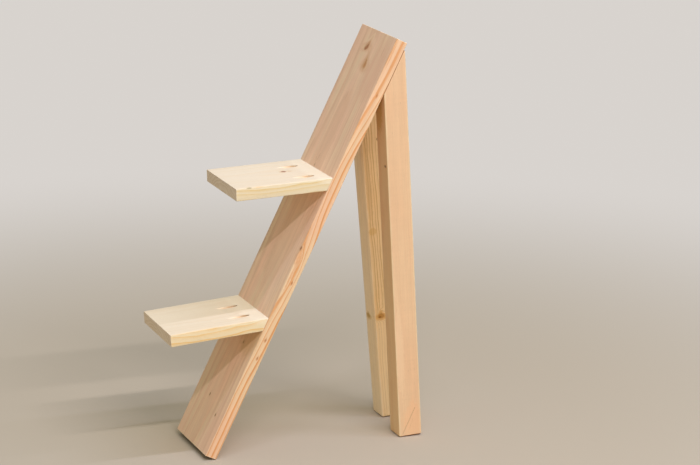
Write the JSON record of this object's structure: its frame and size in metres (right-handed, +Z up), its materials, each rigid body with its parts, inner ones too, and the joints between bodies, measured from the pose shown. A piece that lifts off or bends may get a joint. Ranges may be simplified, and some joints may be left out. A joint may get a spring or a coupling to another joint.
{
  "type": "tiered plant stand",
  "caption": "Free-standing wooden plant stand: a leaning board with short bevelled shelves one above the other, propped from behind by mitred square legs.",
  "frame": {"origin": "on the floor, at the middle of the base of the whole stand's box", "axes": "+Z up; -Y towards the front, where the shelves stick out; +X across, to the right of someone who faces the shelves"},
  "size_m": [0.1396, 0.4328, 0.6442],
  "materials": {
    "board_fir": "planed, bare, straight grain with small knots",
    "shelf_pine": "planed, bare, pale with yellow grain on the edges",
    "leg_fir": "planed, bare, fine straight grain",
    "leg_pine": "planed, bare, strong yellow grain",
    "screw_steel": "zinc plated"
  },
  "bodies": {
    "root": {"front_board": "board_fir", "upper_shelf": "shelf_pine", "lower_shelf": "shelf_pine", "right_leg": "leg_fir", "left_leg": "leg_pine", "upper_shelf_screws": "screw_steel", "lower_shelf_screws": "screw_steel", "short_leg_screws": "screw_steel", "long_leg_screws": "screw_steel"}
  },
  "joints": []
}
